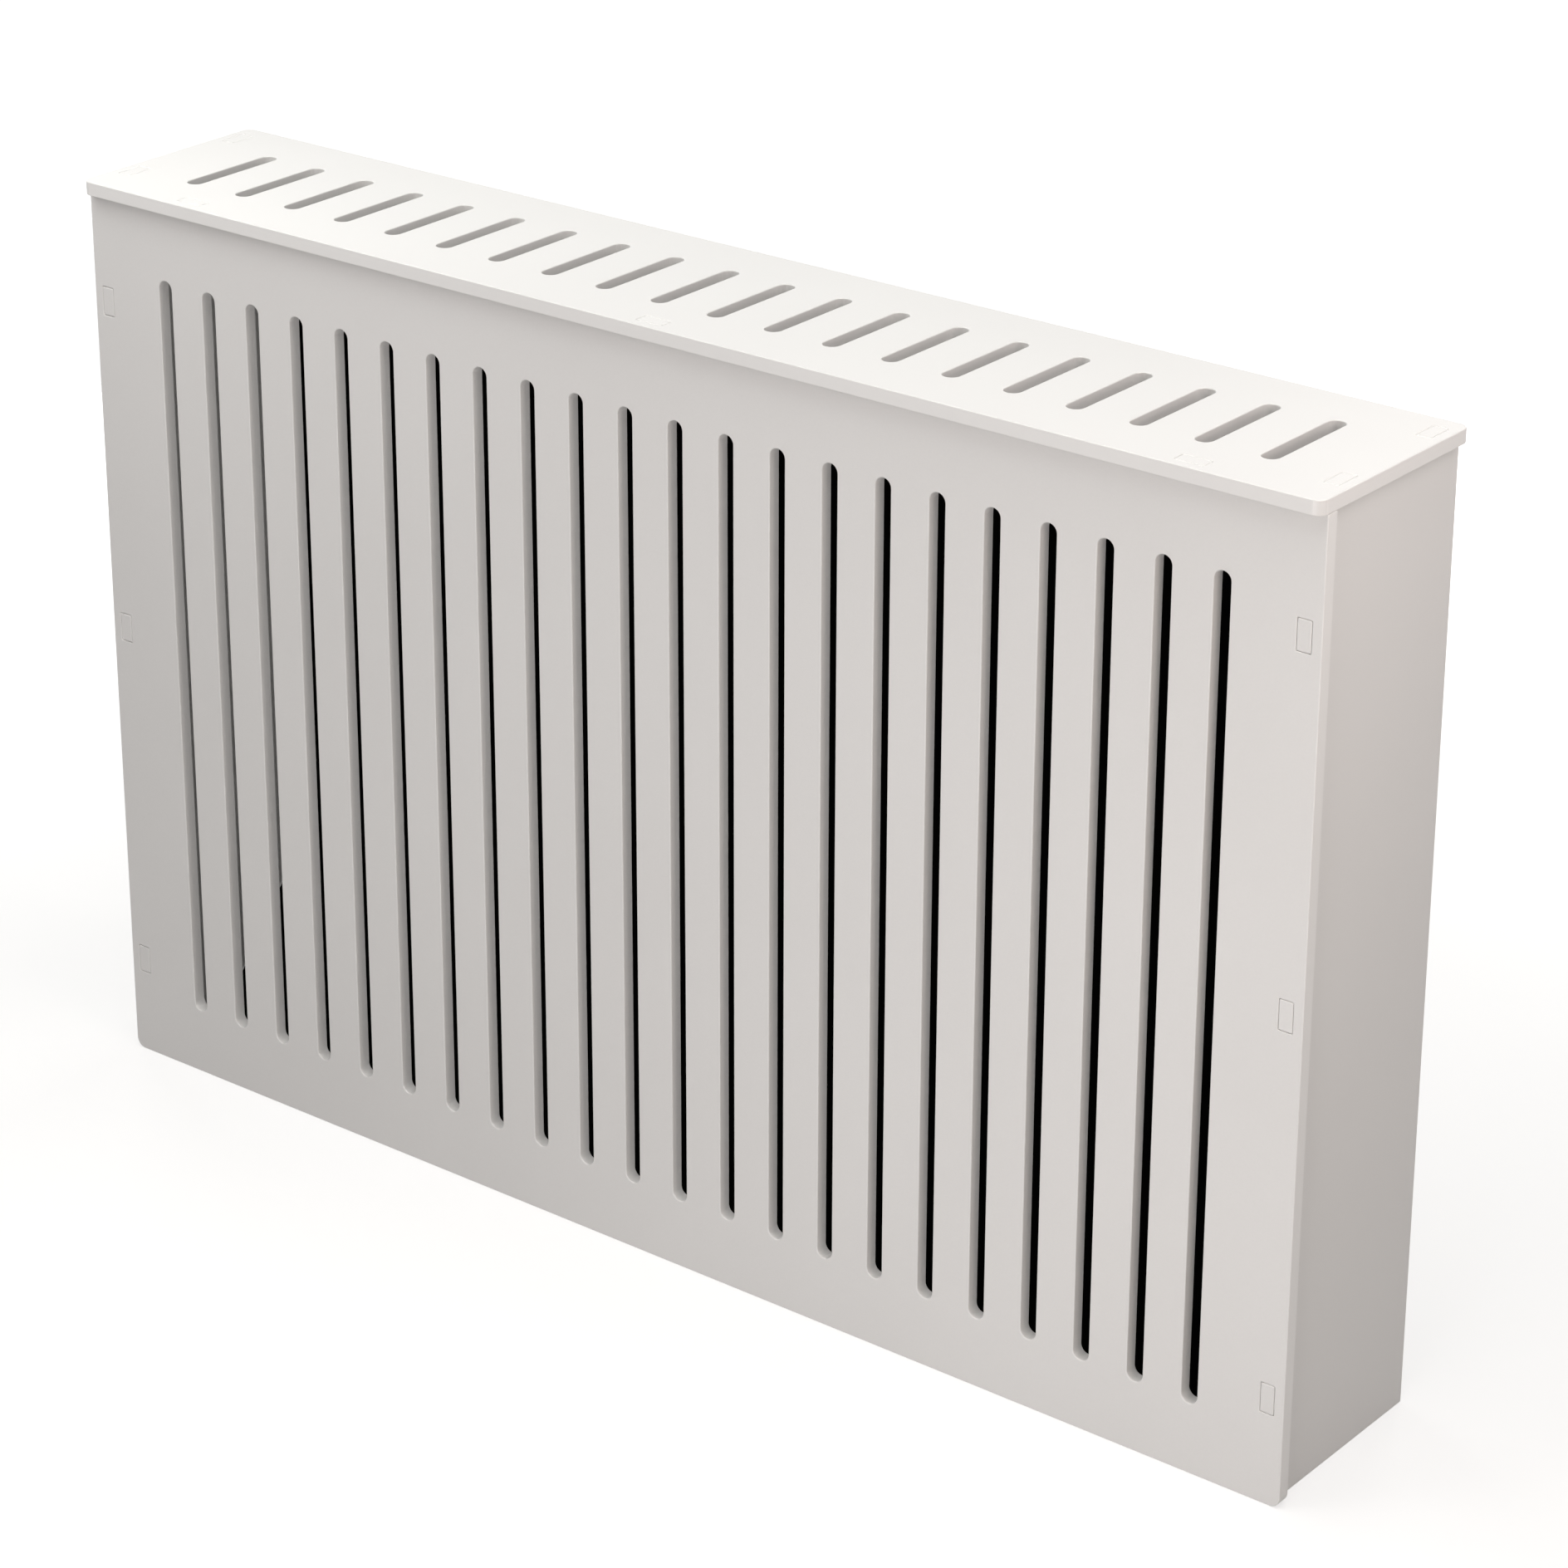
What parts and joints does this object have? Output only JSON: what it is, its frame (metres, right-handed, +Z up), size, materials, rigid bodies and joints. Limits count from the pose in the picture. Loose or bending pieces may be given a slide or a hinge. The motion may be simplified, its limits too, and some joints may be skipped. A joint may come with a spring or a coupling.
{
  "type": "radiator cover cabinet",
  "caption": "Free-standing flat-pack radiator cover with a slotted front and lid, plain sides, through tabs, folded angles, a rear rail and wall hooks.",
  "frame": {"origin": "on the floor, under the middle of the box that the whole cover fills", "axes": "+X along the front to the right, +Y towards the wall, +Z up"},
  "size_m": [1.218, 0.199, 0.814],
  "materials": {
    "lacquered_board": "satin white lacquer on fibreboard",
    "zinc_steel": "zinc-plated strip",
    "zinc_screws": "zinc-plated"
  },
  "bodies": {
    "root": {"front_panel": "lacquered_board", "lid": "lacquered_board", "side_panel_left": "lacquered_board", "side_panel_right": "lacquered_board", "rear_rail": "lacquered_board", "front_angle_left_lower": "zinc_steel", "front_angle_left_upper": "zinc_steel", "front_angle_right_lower": "zinc_steel", "front_angle_right_upper": "zinc_steel", "rail_angle_left": "zinc_steel", "rail_angle_right": "zinc_steel", "lid_angle_front_left": "zinc_steel", "lid_angle_front_right": "zinc_steel", "lid_angle_rear_left": "zinc_steel", "lid_angle_rear_right": "zinc_steel", "wall_hook_left": "zinc_steel", "wall_hook_right": "zinc_steel", "front_angle_screws": "zinc_screws", "rail_angle_screws": "zinc_screws", "lid_angle_screws": "zinc_screws"}
  },
  "joints": []
}
